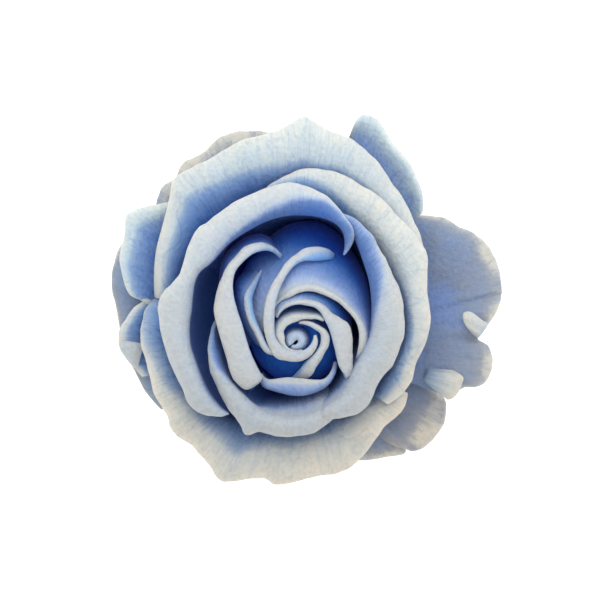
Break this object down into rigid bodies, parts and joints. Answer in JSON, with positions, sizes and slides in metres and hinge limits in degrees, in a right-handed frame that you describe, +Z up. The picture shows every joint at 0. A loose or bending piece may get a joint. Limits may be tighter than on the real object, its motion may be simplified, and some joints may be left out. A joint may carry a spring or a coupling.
{
  "type": "rose head",
  "caption": "Full-blown standard rose head with a leaning spiral bud, cupped and rolled petals, and a green calyx on a short cut stub that it stands on.",
  "frame": {"origin": "on the surface that the head stands on, under the middle of its outline", "axes": "+Z up along the head, +Y towards the pointed petal at the back, +X towards the widest loose petals"},
  "size_m": [0.0628, 0.0596, 0.0449],
  "materials": {
    "petals": "matte, velvety",
    "calyx": "satin, waxy"
  },
  "bodies": {
    "root": {"bloom": "petals", "calyx": "calyx"}
  },
  "joints": []
}
